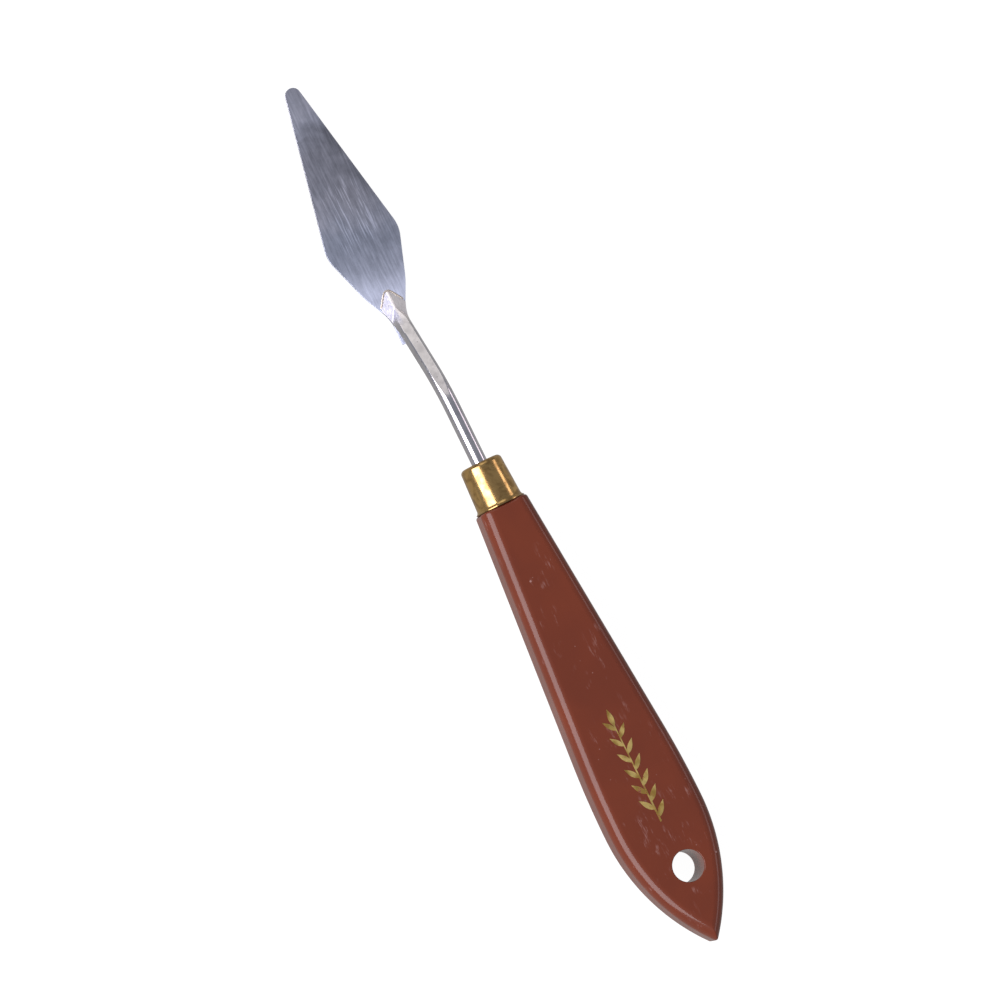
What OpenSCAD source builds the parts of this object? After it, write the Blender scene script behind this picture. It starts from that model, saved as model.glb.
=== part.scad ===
// Painting knife: a diamond blade brazed to a cranked steel rod, in a lacquered wooden handle.
// +X points to the blade's tip, +Z is the decorated face, the rod and handle share one axis.

/* [Handle] */
// Length of the handle from the ferrule to the butt
handle_length = 103.5; // [84:0.5:130]
// Greatest width of the handle, at its belly
handle_width = 22; // [18:0.5:27]
// Width of the handle where it meets the ferrule
handle_front_width = 11.2; // [10.8:0.1:13.5]
// Thickness of the handle between its two flat faces
handle_thickness = 10.5; // [10:0.1:13]
// Distance from the belly to the butt
belly_to_butt = 29.5; // [24:0.5:36]
// Length of the soft curve between the straight flank and the belly
belly_blend = 17; // [10:1:24]
// Radius of the long edges
edge_radius = 2.8; // [1.5:0.1:3.4]
// Radius of the front edge, next to the ferrule
shoulder_radius = 0.7; // [0.3:0.1:0.9]
// Radius of the butt's point, seen from above
nose_radius = 0.6; // [0.3:0.1:1.5]

/* [Hang hole] */
// Diameter of the hang hole
hole_diameter = 7; // [5:0.1:9]
// Distance from the hole's centre to the butt
hole_to_butt = 17; // [14:0.5:24]
// Distance of the hole's centre from the handle's centre line
hole_offset = 1.1; // [0:0.1:2]
// Width of the eased rim at each mouth of the hole
hole_rim = 0.25; // [0.1:0.05:0.6]

/* [Ferrule] */
// Length of the ferrule
ferrule_length = 10.3; // [8:0.1:14]
// Outer diameter of the ferrule at its front
ferrule_front_diameter = 9.5; // [8.5:0.1:10]
// Outer diameter of the ferrule ahead of its lip
ferrule_back_diameter = 10.3; // [10:0.1:11]
// Outer diameter of the ferrule's lip
ferrule_lip_diameter = 11.3; // [11:0.1:12.5]
// Length of the flared lip
ferrule_lip_length = 1.2; // [0.8:0.1:2]
// Thickness of the brass
ferrule_wall = 0.4; // [0.3:0.05:0.6]
// Radius of the ferrule's front corner
ferrule_corner_radius = 1; // [0.7:0.1:1.5]
// Depth of the dish in the ferrule's front face
ferrule_dish = 0.25; // [0.1:0.05:0.5]

/* [Rod] */
// Diameter of the steel rod
rod_diameter = 3.5; // [2.8:0.1:4.4]
// Depth of the rod inside the handle
tang_depth = 38; // [25:1:50]
// Length of the ground flats at the hidden end of the rod
tang_flat_length = 8; // [4:1:12]
// Straight length of rod ahead of the ferrule
rod_straight = 12.2; // [6:0.1:18]
// Radius of the crank's first bend, at the rod's centre line
bend_radius = 27; // [18:1:36]
// Angle of the crank
crank_angle = 25; // [20:1:30]
// Drop from the rod's centre line to the top of the blade, at the blade's root
crank_drop = 9; // [7.5:0.1:12]
// Depth of the flat ground along the top of the crank
flat_depth = 0.32; // [0.15:0.01:0.5]
// Length over which that flat runs out into the round rod
flat_runout = 8; // [4:0.5:10]

/* [Head] */
// Length of the arrow head from the blade's root to its point
head_length = 9.5; // [8:0.1:9.5]
// Angle between the centre line and each edge of the arrow
head_half_angle = 35; // [28:1:42]
// Radius of the arrow's point, seen from above
head_tip_radius = 0.9; // [0.4:0.1:1.4]
// Thickness of the head at its edges
head_edge = 0.2; // [0.1:0.05:0.4]
// Slope of the two bevels
head_bevel = 14; // [10:1:18]
// Width of the line of braze around the head
braze_width = 0.45; // [0.3:0.05:0.8]
// Height of the line of braze
braze_height = 0.15; // [0.1:0.05:0.2]

/* [Blade] */
// Length of the blade from its root to its tip
blade_length = 57.4; // [46:0.1:72]
// Width of the diamond, corner to corner before rounding
blade_width = 17.6; // [14:0.1:22]
// Thickness of the blade
blade_thickness = 0.5; // [0.4:0.05:0.8]
// Angle at which the blade rises towards its tip
blade_tilt = 3.3; // [0:0.1:6]
// Radius of the tip, seen from above
tip_radius = 1.77; // [1:0.01:2.5]
// Radius of the diamond's two side corners
side_corner_radius = 7.5; // [3:0.5:12]
// Distance from the root to the hips, where the rear edges change slope
hip_to_root = 9.7; // [9:0.1:12]
// Width between the hips
hip_width = 10.2; // [9:0.1:12]
// Distance from the hips to the side corners
hip_to_corner = 10.9; // [9:0.1:14]
// Radius of the hips
hip_radius = 24; // [10:1:30]
// Radius of the flare from the neck into the blade
flare_radius = 10; // [7:0.5:12]
// Distance from the root to the start of the flare
flare_start = 0.65; // [0:0.05:1.5]
// Length of the tab that runs back from the root, under the end of the rod
tab_length = 3; // [2.6:0.1:4]

/* [Foil] */
// Length of the foil sprig
sprig_length = 26.5; // [18:0.5:32]
// Distance from the sprig's near end to the hang hole's centre
sprig_to_hole = 11; // [8:0.5:16]
// Number of leaf pairs
sprig_pairs = 6; // [3:1:7]
// Length of a leaf
leaf_length = 4; // [2.4:0.1:4.4]
// Width of a leaf
leaf_width = 1.2; // [0.6:0.05:1.4]
// Angle of the leaves from the stem
leaf_angle = 38; // [25:1:50]
// Width of the stem
stem_width = 0.35; // [0.2:0.05:0.6]
// Thickness of the foil
foil_thickness = 0.05; // [0.03:0.01:0.1]

/* [Fits] */
// Gap between the ferrule and what it slides over
fit_gap = 0.05; // [0.02:0.01:0.1]
// Gap around the rod in the handle, filled with adhesive
glue_gap = 0.25; // [0.1:0.05:0.5]

/* [Hidden] */
$fn = 64;
sliver = 0.01;

// ---- Handle, in plan: d runs back from the ferrule, y runs out from the centre line ----
handle_half = handle_width / 2;
belly_d = handle_length - belly_to_butt;
flank_taper = atan((handle_half - handle_front_width / 2) / (belly_d - belly_blend / 2));
flank_arc_radius = belly_blend / sin(flank_taper);
tail_run = belly_to_butt - nose_radius;
tail_radius = (tail_run ^ 2 + handle_half ^ 2 - nose_radius ^ 2) / (2 * (handle_half - nose_radius));
edge_steps = 6;
hole_x = hole_to_butt - handle_length;

// ---- Rod, in side view: z runs up from the rod's centre line ----
rod_r = rod_diameter / 2;
bend_x = ferrule_length + rod_straight;
bend_run = bend_radius * sin(crank_angle);
bend_drop = bend_radius * (1 - cos(crank_angle));
slope_x = bend_x + bend_run;
root_x = slope_x + (crank_drop - rod_r / cos(crank_angle) - bend_drop) / tan(crank_angle);
apex_x = root_x + head_length;
flat_lead = 2;
flat_start = slope_x - flat_lead - flat_runout;
spigot_clearance = 0.3;
spigot_length = ferrule_length - ferrule_wall - ferrule_dish - spigot_clearance;
bore_r = rod_r + glue_gap;
bore_overrun = 0.5;
bore_floor = tang_depth + bore_overrun;
tang_flat_half = 0.6 * rod_r;

// ---- Blade, in its own plane: u runs from the root to the tip ----
corner_u = hip_to_root + hip_to_corner;
corner_half = blade_width / 2;
hip = [hip_to_root, hip_width / 2];
corner = [corner_u, corner_half];
flare_centre = [flare_start, rod_r + flare_radius];
flare_reach = norm(hip - flare_centre);
flare_angle = atan2(hip.x - flare_centre.x, flare_centre.y - hip.y) - acos(flare_radius / flare_reach);
point_run = blade_length - corner_u - tip_radius;
point_angle = acos(tip_radius / norm([point_run, corner_half])) - atan2(point_run, corner_half);
tip_centre = [blade_length - tip_radius, 0];
tip_tangent = tip_centre + tip_radius * [sin(point_angle), cos(point_angle)];

// ---- The whole knife is centred on its own box and stands on its lowest point ----
tip_x = root_x + blade_length * cos(blade_tilt);
centre_x = (tip_x - handle_length) / 2;
blade_low = crank_drop + tab_length * sin(blade_tilt) + blade_thickness * cos(blade_tilt);
lowest_z = -max(blade_low, handle_thickness / 2, ferrule_lip_diameter / 2);

module placed() translate([-centre_x, 0, -lowest_z]) children();
module on_blade() translate([root_x, 0, -crank_drop]) rotate([0, -blade_tilt, 0]) children();
module along_rod(x) translate([x, 0, 0]) rotate([0, 90, 0]) children();

function unit(v) = v / norm(v);
function smooth(t) = let (c = min(1, max(0, t))) c * c * (3 - 2 * c);
function mix(a, b, t) = a + (b - a) * t;
function mirrored(half) = concat(half, [for (k = [len(half) - 1:-1:0]) if (half[k].y > sliver / 10)
    [half[k].x, -half[k].y]]);

// Points of the arc of radius r that rounds the corner at b, between the lines to a and to c.
function fillet(a, b, c, r, steps = 6) =
    let (
        back = unit(a - b),
        ahead = unit(c - b),
        half = acos(back * ahead) / 2,
        centre = b + unit(back + ahead) * r / sin(half),
        first = b + back * r / tan(half) - centre,
        last = b + ahead * r / tan(half) - centre,
        turn = 180 - 2 * half,
        way = first.x * last.y - first.y * last.x > 0 ? 1 : -1,
        start = atan2(first.y, first.x)
    )
    [
        for (k = [0:steps])
            let (a = start + way * turn * k / steps)
            centre + r * [cos(a), sin(a)]
    ];

// ---- Blade ----
function blade_half_outline() = concat(
    [[-tab_length, rod_r]],
    [for (k = [0:8]) flare_centre + flare_radius * [sin(flare_angle * k / 8), -cos(flare_angle * k / 8)]],
    fillet(flare_centre + flare_radius * [sin(flare_angle), -cos(flare_angle)], hip, corner, hip_radius, 4),
    fillet(hip, corner, tip_tangent, side_corner_radius, 8),
    [for (k = [0:8]) let (a = mix(90 - point_angle, 0, k / 8)) tip_centre + tip_radius * [cos(a), sin(a)]]
);

module blade_outline() polygon(mirrored(blade_half_outline()));

module blade()
    color([0.55, 0.58, 0.66])
        placed()
            on_blade()
                translate([0, 0, -blade_thickness])
                    linear_extrude(blade_thickness)
                        blade_outline();

// ---- Shank: tang, rod, crank and arrow head in one piece ----
function axis_slope(x) = x < bend_x ? 0 : x < slope_x ? asin((x - bend_x) / bend_radius) : crank_angle;
function axis_z(x) =
    x < bend_x ? 0 :
    x < slope_x ? -bend_radius * (1 - cos(axis_slope(x))) :
    -bend_drop - (x - slope_x) * tan(crank_angle);
function blade_top_z(x) = -crank_drop + (x - root_x) * tan(blade_tilt);
function round_z(x, y) = sqrt(max(0, (rod_r - sliver) ^ 2 - y ^ 2)) / cos(axis_slope(x));
function flat_z(x) = axis_z(x)
    + (rod_r - flat_depth * smooth((x - flat_start) / flat_runout)) / cos(axis_slope(x));

// Half-width of the head: the blade's flare, cut to an arrow by its two slanting edges.
function flare_half(u) =
    u < flare_start ? rod_r :
    rod_r + flare_radius - sqrt(flare_radius ^ 2 - min(u - flare_start, flare_radius * sin(flare_angle)) ^ 2);
nose_centre_x = apex_x - head_tip_radius / sin(head_half_angle);
function arrow_half(x) = x < nose_centre_x + head_tip_radius * sin(head_half_angle)
    ? (apex_x - x) * tan(head_half_angle)
    : sqrt(max(0, head_tip_radius ^ 2 - (x - nose_centre_x) ^ 2));
function head_half(x) = min(flare_half(x - root_x), arrow_half(x));

// Top of the head: two shallow bevels meet in a ridge,
// and the ground flat runs out on them as a prow.
flat_half = sqrt(rod_r ^ 2 - (rod_r - flat_depth) ^ 2);
prow_steepness = 1.7;
prow_run = 3.6;
prow_end = 5.55;
function bevel_z(x, y) = blade_top_z(x) + head_edge
    + ((apex_x - x) * sin(head_half_angle) - abs(y) * cos(head_half_angle)) * tan(head_bevel);
function prow_half(x) = flat_half * min(1, max(0, (root_x + prow_end - x) / prow_run));
function ridge_z(x) = max(flat_z(x), bevel_z(x, 0));
function prow_z(x, y) = ridge_z(x) - prow_steepness * (abs(y) - prow_half(x));
function head_z(x, y) = min(ridge_z(x), max(bevel_z(x, y), prow_z(x, y)));

// How far cutting tools run past the solid they cut.
overrun = 1;

root_blend = 2.4;
top_blend_start = 0.2;
bottom_blend_start = -0.4;
function top_z(x, y) = mix(min(flat_z(x), axis_z(x) + round_z(x, y)), head_z(x, y),
    smooth((x - root_x - top_blend_start) / root_blend));
function bottom_z(x, y) = mix(max(blade_top_z(x), axis_z(x) - round_z(x, y)), blade_top_z(x),
    smooth((x - root_x - bottom_blend_start) / root_blend));
function half_width(x) = x < root_x ? rod_r - sliver : max(sliver, head_half(x) - sliver);

// One ring of points around the crank at x, counted by angle from the top.
ring_points = 32;
function crank_ring(x) = [for (k = [0:ring_points - 1])
    let (
        a = 360 * k / ring_points,
        side = abs(cos(a)) < 0.001,
        y = half_width(x) * sin(a),
        top = top_z(x, y),
        bottom = bottom_z(x, y)
    )
    [x, y, side ? (top + bottom) / 2 : cos(a) > 0 ? max(top, bottom) : bottom]];

bend_stations = 14;
slope_stations = 8;
head_stations = 26;
overlap = 0.5;
head_lead = 1;
nose_stations = 6;
nose_stop = 0.02;
crank_stations = concat(
    [for (k = [0:bend_stations]) mix(bend_x - overlap, slope_x, k / bend_stations)],
    [for (k = [1:slope_stations]) mix(slope_x, root_x - head_lead, k / slope_stations)],
    [for (k = [1:head_stations]) mix(root_x - head_lead, nose_centre_x, k / head_stations)],
    [for (k = [1:nose_stations]) nose_centre_x + (head_tip_radius - nose_stop) * sin(90 * k / nose_stations)]
);

module ringed_solid(rings) {
    sides = len(rings[0]);
    last = len(rings) - 1;
    walls = [for (i = [0:last - 1], k = [0:sides - 1])
        let (
            n = (k + 1) % sides,
            a = i * sides + k,
            b = i * sides + n,
            c = a + sides,
            d = b + sides
        )
        each [[a, b, d], [a, d, c]]];
    near = [for (k = [1:sides - 2]) [0, k + 1, k]];
    far = [for (k = [1:sides - 2]) [last * sides, last * sides + k, last * sides + k + 1]];
    polyhedron([for (r = rings) each r], concat(walls, near, far));
}

module tang()
    difference() {
        along_rod(-tang_depth) cylinder(h = tang_depth + bend_x, r = rod_r);
        for (side = [-1, 1])
            translate([-tang_depth + tang_flat_length / 2, 0, side * (tang_flat_half + rod_r / 2)])
                cube([tang_flat_length + sliver, rod_diameter + sliver, rod_r], center = true);
    }

module shank()
    color([0.72, 0.72, 0.74])
        placed()
            union() {
                tang();
                ringed_solid([for (x = crank_stations) crank_ring(x)]);
            }

// ---- Line of braze around the head, on top of the blade ----
module arrow(grow, tail)
    offset(r = head_tip_radius + grow)
        offset(delta = -head_tip_radius)
            polygon([
                [head_length, 0],
                [tail, (head_length - tail) * tan(head_half_angle)],
                [tail, -(head_length - tail) * tan(head_half_angle)]
            ]);

module braze_fillet()
    color([0.72, 0.66, 0.58])
        placed()
            on_blade()
                linear_extrude(braze_height)
                    intersection() {
                        difference() {
                            arrow(braze_width, flare_start - 2);
                            arrow(0, flare_start - 4);
                        }
                        blade_outline();
                    }

// ---- Ferrule ----
module ferrule_profile() {
    lip_r = ferrule_lip_diameter / 2;
    back_r = ferrule_back_diameter / 2;
    front_r = ferrule_front_diameter / 2;
    corner = ferrule_corner_radius;
    hole_r = rod_r + fit_gap;
    flare = ferrule_lip_length;
    rise = lip_r - back_r;
    outside = concat(
        [[lip_r, 0], [lip_r, flare / 4]],
        [for (k = [1:5]) [back_r + rise * (1 - sin(18 * k)), flare / 4 + flare * 3 / 4 * (1 - cos(18 * k))]],
        [for (k = [0:5]) [front_r - corner * (1 - cos(18 * k)), ferrule_length - corner * (1 - sin(18 * k))]],
        [[hole_r, ferrule_length - ferrule_dish]]
    );
    inside = [
        [hole_r, ferrule_length - ferrule_dish - ferrule_wall],
        [front_r - corner, ferrule_length - ferrule_wall],
        [front_r - ferrule_wall, ferrule_length - corner],
        [back_r - ferrule_wall, 0]
    ];
    polygon(concat(outside, inside));
}

module ferrule()
    color([0.83, 0.66, 0.33])
        placed()
            along_rod(0)
                rotate_extrude()
                    ferrule_profile();

// ---- Handle ----
// Half of the handle's plan, drawn in by inset and cut back from the ferrule by setback:
// the eased front corner, the flank with its soft arc, the tail arc and the nose.
function handle_half_outline(inset, setback) =
    let (
        flank_r = flank_arc_radius - inset,
        flank_cy = handle_half - flank_arc_radius,
        flank_top = flank_cy + flank_r * cos(flank_taper),
        flank_d = belly_d - flank_r * sin(flank_taper),
        front_half = flank_top - (flank_d - setback) * tan(flank_taper),
        tail_r = tail_radius - inset,
        tail_cy = handle_half - tail_radius,
        nose_r = max(nose_radius - inset, nose_radius / 3),
        nose_d = belly_d + sqrt((tail_r - nose_r) ^ 2 - tail_cy ^ 2),
        tail_end = acos(-tail_cy / (tail_r - nose_r))
    )
    concat(
        fillet([setback, 0], [setback, front_half], [flank_d, flank_top], shoulder_radius, 3),
        [
            for (k = [0:5])
                let (a = flank_taper * (1 - k / 5))
                [belly_d - flank_r * sin(a), flank_cy + flank_r * cos(a)]
        ],
        [
            for (k = [1:18])
                let (a = tail_end * k / 18)
                [belly_d + tail_r * sin(a), tail_cy + tail_r * cos(a)]
        ],
        [for (k = [1:4]) let (a = mix(tail_end, 90, k / 4)) [nose_d + nose_r * sin(a), nose_r * cos(a)]]
    );

// The outline at one height. The long edges and the front edge are rounded by drawing it in near each face.
function handle_ring(a, side) =
    let (
        depth = edge_radius * (1 - sin(a)),
        setback = shoulder_radius - sqrt(max(0, shoulder_radius ^ 2 - max(0, shoulder_radius - depth) ^ 2))
    )
    [for (p = mirrored(handle_half_outline(edge_radius * (1 - cos(a)), setback)))
        [-p.x, -p.y, side * (handle_thickness / 2 - depth)]];

module handle_blank()
    ringed_solid(concat(
        [for (k = [edge_steps:-1:0]) handle_ring(90 * k / edge_steps, -1)],
        [for (k = [0:edge_steps]) handle_ring(90 * k / edge_steps, 1)]
    ));

module spigot() {
    front_r = ferrule_front_diameter / 2 - ferrule_wall - fit_gap;
    back_r = ferrule_back_diameter / 2 - ferrule_wall - fit_gap;
    corner = ferrule_corner_radius;
    along_rod(-overrun) cylinder(h = overrun + spigot_length - corner, r1 = back_r, r2 = front_r);
    along_rod(spigot_length - corner) cylinder(h = corner, r1 = front_r, r2 = front_r - corner);
}

module hang_hole()
    translate([hole_x, -hole_offset, 0]) {
        cylinder(h = handle_thickness + 2 * overrun, d = hole_diameter, center = true);
        for (side = [0, 1])
            mirror([0, 0, side])
                translate([0, 0, handle_thickness / 2 - hole_rim])
                    cylinder(h = 2 * hole_rim, d1 = hole_diameter, d2 = hole_diameter + 4 * hole_rim);
    }

module handle()
    color([0.44, 0.20, 0.16])
        placed()
            difference() {
                union() {
                    handle_blank();
                    spigot();
                }
                along_rod(-bore_floor) cylinder(h = bore_floor + ferrule_length, r = bore_r);
                hang_hole();
            }

// ---- Adhesive that fills the handle's bore around the tang ----
module tang_adhesive()
    color([0.80, 0.74, 0.55])
        placed()
            difference() {
                along_rod(-bore_floor) cylinder(h = bore_floor + spigot_length, r = bore_r);
                tang();
            }

// ---- Foil sprig pressed on the handle's top face ----
stem_overlap = 0.2;
module leaf() {
    radius = (leaf_length ^ 2 + leaf_width ^ 2) / (4 * leaf_width);
    translate([leaf_length / 2, 0])
        intersection_for (side = [-1, 1])
            translate([0, side * (radius - leaf_width / 2)])
                circle(r = radius);
}

module foil_sprig()
    color([0.85, 0.66, 0.26])
        placed()
            translate([hole_x + sprig_to_hole, 0, handle_thickness / 2])
                linear_extrude(foil_thickness) {
                    pitch = (sprig_length - leaf_length) / sprig_pairs;
                    stem_length = sprig_length - leaf_length + stem_overlap * leaf_length;
                    translate([0, -stem_width / 2]) square([stem_length, stem_width]);
                    translate([sprig_length - leaf_length, 0]) leaf();
                    for (k = [0:sprig_pairs - 1], side = [-1, 1])
                        translate([(k + (side + 2) / 4) * pitch, 0])
                            rotate(side * leaf_angle)
                                leaf();
                }

blade();
shank();
braze_fillet();
ferrule();
handle();
tang_adhesive();
foil_sprig();
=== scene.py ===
"""Looks for the painting knife: blade, cranked rod, brass ferrule, lacquered handle, foil sprig."""
import math

import bmesh
import bpy
from mathutils import Matrix, Vector


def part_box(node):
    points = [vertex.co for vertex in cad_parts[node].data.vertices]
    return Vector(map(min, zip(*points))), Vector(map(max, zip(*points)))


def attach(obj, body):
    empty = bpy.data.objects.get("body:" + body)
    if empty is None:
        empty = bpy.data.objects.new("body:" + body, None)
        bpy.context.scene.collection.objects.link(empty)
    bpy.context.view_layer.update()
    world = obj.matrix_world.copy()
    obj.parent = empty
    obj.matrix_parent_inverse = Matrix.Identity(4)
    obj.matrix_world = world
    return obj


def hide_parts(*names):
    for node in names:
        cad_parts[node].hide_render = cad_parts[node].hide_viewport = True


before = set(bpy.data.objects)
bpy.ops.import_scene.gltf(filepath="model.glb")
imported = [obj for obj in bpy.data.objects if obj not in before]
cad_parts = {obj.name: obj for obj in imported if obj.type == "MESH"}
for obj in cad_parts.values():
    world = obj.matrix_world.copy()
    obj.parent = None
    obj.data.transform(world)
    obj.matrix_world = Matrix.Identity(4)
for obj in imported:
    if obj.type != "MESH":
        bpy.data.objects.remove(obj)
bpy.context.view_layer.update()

MM = 0.001

# ---- Sizes, in millimetres, as the part has them ----
HANDLE_LENGTH = 103.5
HANDLE_WIDTH = 22.0
HANDLE_FRONT_WIDTH = 11.2
HANDLE_THICKNESS = 10.5
BELLY_TO_BUTT = 29.5
BELLY_BLEND = 17.0
EDGE_RADIUS = 2.8
SHOULDER_RADIUS = 0.7
NOSE_RADIUS = 0.6
HOLE_RADIUS = 3.5
HOLE_TO_BUTT = 17.0
HOLE_OFFSET = 1.1
HOLE_RIM = 0.25
SPIGOT_LENGTH = 9.35
BORE_RADIUS = 2.0
BORE_DEPTH = 38.5
FERRULE_LENGTH = 10.3
FERRULE_FRONT_RADIUS = 4.75
FERRULE_BACK_RADIUS = 5.15
FERRULE_LIP_RADIUS = 5.65
FERRULE_LIP_LENGTH = 1.2
FERRULE_WALL = 0.4
FERRULE_CORNER = 1.0
FERRULE_DISH = 0.25
ROD_RADIUS = 1.75
ROD_GAP = 0.05
TANG_DEPTH = 38.0
TANG_FLAT_LENGTH = 8.0
TANG_FLAT_HALF = 1.05
ROD_STRAIGHT = 12.2
BEND_RADIUS = 27.0
CRANK_ANGLE = math.radians(25)
CRANK_DROP = 9.0
FLAT_DEPTH = 0.32
FLAT_RUNOUT = 8.0
HEAD_LENGTH = 9.5
HEAD_HALF_ANGLE = math.radians(35)
HEAD_TIP_RADIUS = 0.9
HEAD_EDGE = 0.2
HEAD_BEVEL = math.radians(14)
BRAZE_WIDTH = 0.45
BRAZE_HEIGHT = 0.15
BLADE_LENGTH = 57.4
BLADE_WIDTH = 17.6
BLADE_THICKNESS = 0.5
BLADE_TILT = math.radians(3.3)
BLADE_EDGE = 0.07
TIP_RADIUS = 1.77
CORNER_RADIUS = 7.5
HIP_TO_ROOT = 9.7
HIP_WIDTH = 10.2
HIP_TO_CORNER = 10.9
HIP_RADIUS = 24.0
FLARE_RADIUS = 10.0
FLARE_START = 0.65
TAB_LENGTH = 3.0
SPRIG_LENGTH = 26.5
SPRIG_TO_HOLE = 11.0
SPRIG_PAIRS = 6
LEAF_LENGTH = 4.0
LEAF_WIDTH = 1.2
LEAF_ANGLE = math.radians(38)
STEM_WIDTH = 0.35
FOIL_THICKNESS = 0.05

# ---- Small allowances, in millimetres ----
OVERRUN = 1.0
ROOT_BLEND = 2.4
TOP_BLEND_START = 0.2
BOTTOM_BLEND_START = -0.4
PROW_STEEPNESS, PROW_RUN, PROW_END = 1.7, 3.6, 5.55
NARROWEST = 0.01
TANG_STEP = 0.01
CLEAR_OF_BOTTOM = 0.02
CUT_INTO_ROUND = 0.008
NEAR_RIDGE = 0.06
HOLE_RIM_LIFT = 0.01
HOLE_RIM_SWEEP = math.radians(82)
DRILL_FLARE = 0.3
LIP_SOFTNESS = 0.12
BEAD_SPREAD = 1.15

# ---- Fineness of the round shapes ----
QUARTER = math.pi / 2
ROD_STEPS = 144
EDGE_STEPS = 16
SPIGOT_STEPS = 64
HOLE_STEPS = 128
FERRULE_STEPS = 160
MERGE_DISTANCE = 1e-7

# ---- Camera and surroundings ----
CAMERA_AIM = (1.20, -0.43, 0)
CAMERA_DIRECTION = (-0.026, 0.214, 1.0)
CAMERA_LEAN = math.radians(26.14)
CAMERA_DISTANCE = 1.25
CAMERA_LENS = 210.16
FLOOR_HALF = 3.0
FLOOR_HEIGHTS = (-0.02, -0.0004)
ROOM_COLOUR = (0.29, 0.30, 0.335, 1)
BACKDROP_COLOUR = (0.93, 0.93, 0.93, 1)
LIGHTS_AIM = (0, 0, 0.01)
SOFTBOXES = {
    "window_side": {
        "place": (0, 1.0, 0.96), "size": (1.8, 1.05),
        "radiance": 5.8, "colour": (1.0, 0.96, 1.0),
    },
    "far_side": {
        "place": (-0.25, -1.3, 0.62), "size": (1.6, 0.34),
        "radiance": 1.9, "colour": (1.0, 0.84, 0.87),
    },
    "beyond_tip": {
        "place": (1.25, -0.1, 0.95), "size": (1.3, 0.9),
        "radiance": 0.75, "colour": (1.0, 0.97, 0.93),
    },
}

# ---- The seam between ferrule and handle, on the rod's centre line: every piece is laid out from here ----
handle_low, handle_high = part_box("handle")
seam = Vector((handle_low[0] + HANDLE_LENGTH * MM, 0, (handle_low[2] + handle_high[2]) / 2))


def in_place(x, y, z):
    return (seam.x + x * MM, seam.y + y * MM, seam.z + z * MM)


def mix(a, b, t):
    return a + (b - a) * t


def smooth(t):
    t = min(1.0, max(0.0, t))
    return t * t * (3 - 2 * t)


def fillet(a, b, c, radius, steps):
    """Points of the arc that rounds the corner at b between the lines to a and to c."""
    a, b, c = Vector(a), Vector(b), Vector(c)
    back, ahead = (a - b).normalized(), (c - b).normalized()
    half = back.angle(ahead) / 2
    centre = b + (back + ahead).normalized() * radius / math.sin(half)
    first = b + back * radius / math.tan(half) - centre
    last = b + ahead * radius / math.tan(half) - centre
    turn = math.pi - 2 * half
    way = 1 if first.x * last.y - first.y * last.x > 0 else -1
    start = math.atan2(first.y, first.x)
    angles = [start + way * turn * k / steps for k in range(steps + 1)]
    return [centre + radius * Vector((math.cos(t), math.sin(t))) for t in angles]


def both_sides(half):
    """Closes half an outline with its mirror image, keeping points on the centre line single."""
    return half + [Vector((p[0], -p[1])) for p in reversed(half) if p[1] > 0.001]


# ---- Node layout, for finishes and for repeated shapes ----
def lay(tree, kind, inputs=None, **settings):
    node = tree.nodes.new(kind)
    for key, value in settings.items():
        setattr(node, key, value)
    for key, value in (inputs or {}).items():
        if isinstance(value, bpy.types.NodeSocket):
            tree.links.new(value, node.inputs[key])
        else:
            node.inputs[key].default_value = value
    return node


def reckon(tree, operation, a, b=0.0, clamp=False):
    return lay(tree, "ShaderNodeMath", {0: a, 1: b}, operation=operation, use_clamp=clamp).outputs[0]


def both(tree, a, b):
    """The product: where each is a mask, the places that lie in both."""
    return reckon(tree, "MULTIPLY", a, b)


def plus(tree, a, b):
    return reckon(tree, "ADD", a, b)


def between(tree, value, low, high, to_low=0.0, to_high=1.0):
    """value carried from the range low..high to the range to_low..to_high, softly."""
    inputs = {"Value": value, "From Min": low, "From Max": high, "To Min": to_low, "To Max": to_high}
    return lay(tree, "ShaderNodeMapRange", inputs, interpolation_type="SMOOTHSTEP").outputs[0]


def blend_colours(tree, amount, a, b):
    node = lay(tree, "ShaderNodeMix", data_type="RGBA")
    for socket, value in zip([node.inputs[0], node.inputs[6], node.inputs[7]], [amount, a, b]):
        if isinstance(value, bpy.types.NodeSocket):
            tree.links.new(value, socket)
        else:
            socket.default_value = value
    return node.outputs[2]


def from_seam(tree, stretch=(1, 1, 1), at=(0, 0, 0), turn=0.0):
    """Object coordinates in millimetres, counted from a point given from the seam, then stretched."""
    place = lay(tree, "ShaderNodeTexCoord").outputs["Object"]
    start = Vector(in_place(*at))
    move = lay(tree, "ShaderNodeVectorMath", {0: place, 1: start}, operation="SUBTRACT").outputs[0]
    sizes = {"Vector": move, "Rotation": (0, 0, turn), "Scale": [s / MM for s in stretch]}
    return lay(tree, "ShaderNodeMapping", sizes).outputs[0]


def grain(tree, where, size, detail=3.0, roughness=0.55, warp=0.0):
    """Cloudy pattern whose patches are about size millimetres across."""
    inputs = {"Vector": where, "Scale": 1 / size, "Detail": detail}
    inputs.update({"Roughness": roughness, "Distortion": warp})
    return lay(tree, "ShaderNodeTexNoise", inputs).outputs[0]


def specks(tree, where, size, share, radius):
    """Small round spots: one cell in 1 / share holds a spot."""
    cells = lay(tree, "ShaderNodeTexVoronoi", {"Vector": where, "Scale": 1 / size, "Randomness": 1.0})
    near = between(tree, cells.outputs["Distance"], radius * 0.6, radius, 1.0, 0.0)
    chosen = lay(tree, "ShaderNodeSeparateColor", {0: cells.outputs["Color"]}).outputs[0]
    return both(tree, near, reckon(tree, "LESS_THAN", chosen, share))


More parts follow.
